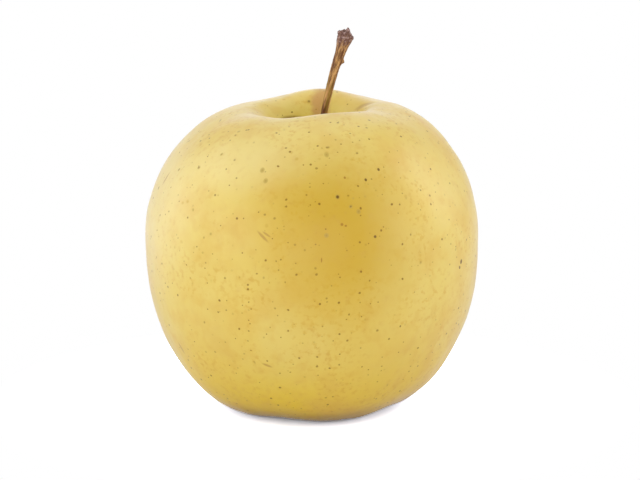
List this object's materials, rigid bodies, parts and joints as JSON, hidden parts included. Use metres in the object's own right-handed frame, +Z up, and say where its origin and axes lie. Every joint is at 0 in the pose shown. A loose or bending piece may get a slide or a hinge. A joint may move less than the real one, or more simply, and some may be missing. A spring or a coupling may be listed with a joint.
{
  "type": "apple",
  "caption": "Whole yellow dessert apple standing on the lobes of its base, with a woody stalk in the hollow on top and a dried calyx underneath.",
  "frame": {"origin": "on the surface that the apple stands on, in the middle of the fruit's outline, straight below its core", "axes": "+Z up along the core, -Y the front, +X to the right; the stalk leans towards +X"},
  "size_m": [0.076, 0.0768, 0.0871],
  "materials": {
    "skin": "satin",
    "stalk": "matte",
    "dried_leaf": "matte",
    "dried_thread": "matte"
  },
  "bodies": {
    "root": {"fruit": "skin", "stalk": "stalk", "stamens": "dried_thread", "sepal_1": "dried_leaf", "sepal_2": "dried_leaf", "sepal_3": "dried_leaf", "sepal_4": "dried_leaf", "sepal_5": "dried_leaf"}
  },
  "joints": []
}
